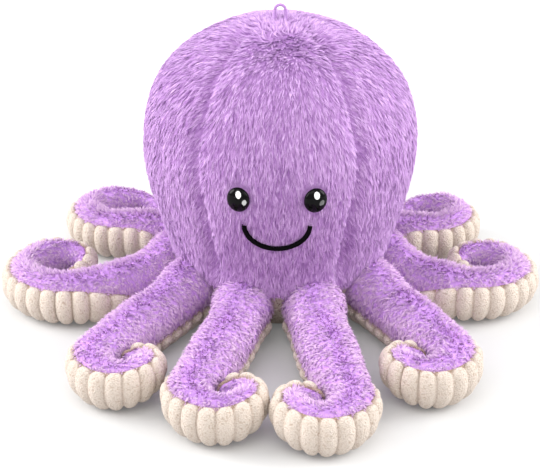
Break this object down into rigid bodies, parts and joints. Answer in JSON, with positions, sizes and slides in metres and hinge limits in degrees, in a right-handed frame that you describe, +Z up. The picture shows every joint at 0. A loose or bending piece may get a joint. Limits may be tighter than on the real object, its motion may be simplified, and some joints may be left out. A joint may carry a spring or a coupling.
{
  "type": "plush octopus",
  "caption": "Stuffed plush octopus with a round furry head on a flat base, glossy eyes, a stitched smile, hinged curling tentacles with ribbed undersides, and a hanging loop.",
  "frame": {"origin": "middle of the flat base, on the surface that the toy stands on", "axes": "+Z up, the face looks along -Y, +X to the right of a viewer who faces the toy"},
  "size_m": [0.3966, 0.3569, 0.2203],
  "materials": {
    "head_plush": "short lilac plush fur, combed down from the crown",
    "tentacle_plush": "short lilac plush fur, in tufts",
    "cream_knit": "cream terry knit, sewn into padded ribs",
    "base_knit": "cream terry knit, flat",
    "fibre": "loose white polyester fibre",
    "eye_gloss": "black, polished",
    "washer": "white, as moulded",
    "mouth_thread": "black satin stitch",
    "loop_cord": "lilac round cord"
  },
  "bodies": {
    "head": {"head_face_panel": "head_plush", "head_side_panel_left": "head_plush", "head_side_panel_right": "head_plush", "head_back_panel_left": "head_plush", "head_back_panel_right": "head_plush", "head_base_panel": "base_knit", "head_stuffing": "fibre", "eye_left": "eye_gloss", "eye_right": "eye_gloss", "eye_washer_left": "washer", "eye_washer_right": "washer", "mouth_embroidery": "mouth_thread"},
    "loop": {"hanging_loop": "loop_cord"},
    "tentacle_front_left": {"tentacle_front_left_top_cover": "tentacle_plush", "tentacle_front_left_ribbed_underside": "cream_knit", "tentacle_front_left_stuffing": "fibre"},
    "tentacle_fore_left": {"tentacle_fore_left_top_cover": "tentacle_plush", "tentacle_fore_left_ribbed_underside": "cream_knit", "tentacle_fore_left_stuffing": "fibre"},
    "tentacle_side_left": {"tentacle_side_left_top_cover": "tentacle_plush", "tentacle_side_left_ribbed_underside": "cream_knit", "tentacle_side_left_stuffing": "fibre"},
    "tentacle_rear_left": {"tentacle_rear_left_top_cover": "tentacle_plush", "tentacle_rear_left_ribbed_underside": "cream_knit", "tentacle_rear_left_stuffing": "fibre"},
    "tentacle_front_right": {"tentacle_front_right_top_cover": "tentacle_plush", "tentacle_front_right_ribbed_underside": "cream_knit", "tentacle_front_right_stuffing": "fibre"},
    "tentacle_fore_right": {"tentacle_fore_right_top_cover": "tentacle_plush", "tentacle_fore_right_ribbed_underside": "cream_knit", "tentacle_fore_right_stuffing": "fibre"},
    "tentacle_side_right": {"tentacle_side_right_top_cover": "tentacle_plush", "tentacle_side_right_ribbed_underside": "cream_knit", "tentacle_side_right_stuffing": "fibre"},
    "tentacle_rear_right": {"tentacle_rear_right_top_cover": "tentacle_plush", "tentacle_rear_right_ribbed_underside": "cream_knit", "tentacle_rear_right_stuffing": "fibre"}
  },
  "joints": [
    {"name": "front_left_lift", "type": "hinge", "parent": "head", "child": "tentacle_front_left", "pos_m": [-0.02524, -0.0701, 0.02259], "axis": [-1, 0, 0], "range_deg": [-20, 24], "stiffness_Nm_per_rad": 0.08},
    {"name": "fore_left_lift", "type": "hinge", "parent": "head", "child": "tentacle_fore_left", "pos_m": [-0.06248, -0.04058, 0.02259], "axis": [-0.9511, 0.309, 0], "range_deg": [-20, 24], "stiffness_Nm_per_rad": 0.08},
    {"name": "side_left_lift", "type": "hinge", "parent": "head", "child": "tentacle_side_left", "pos_m": [-0.07402, 0.00843, 0.02259], "axis": [-0.809, 0.5878, 0], "range_deg": [-20, 24], "stiffness_Nm_per_rad": 0.08},
    {"name": "rear_left_lift", "type": "hinge", "parent": "head", "child": "tentacle_rear_left", "pos_m": [-0.04587, 0.05871, 0.02259], "axis": [-0.0349, 0.9994, 0], "range_deg": [-20, 24], "stiffness_Nm_per_rad": 0.08},
    {"name": "front_right_lift", "type": "hinge", "parent": "head", "child": "tentacle_front_right", "pos_m": [0.02401, -0.07053, 0.02259], "axis": [-1, 0, 0], "range_deg": [-20, 24], "stiffness_Nm_per_rad": 0.08},
    {"name": "fore_right_lift", "type": "hinge", "parent": "head", "child": "tentacle_fore_right", "pos_m": [0.06234, -0.04079, 0.02259], "axis": [-0.9397, -0.342, 0], "range_deg": [-20, 24], "stiffness_Nm_per_rad": 0.08},
    {"name": "side_right_lift", "type": "hinge", "parent": "head", "child": "tentacle_side_right", "pos_m": [0.07416, 0.00714, 0.02259], "axis": [-0.809, -0.5878, 0], "range_deg": [-20, 24], "stiffness_Nm_per_rad": 0.08},
    {"name": "rear_right_lift", "type": "hinge", "parent": "head", "child": "tentacle_rear_right", "pos_m": [0.04688, 0.0579, 0.02259], "axis": [-0.0523, -0.9986, 0], "range_deg": [-20, 24], "stiffness_Nm_per_rad": 0.08},
    {"name": "loop_tilt", "type": "hinge", "parent": "head", "child": "loop", "pos_m": [0, 0, 0.2088], "axis": [1, 0, 0], "range_deg": [-50, 50], "stiffness_Nm_per_rad": 0.00005}
  ]
}
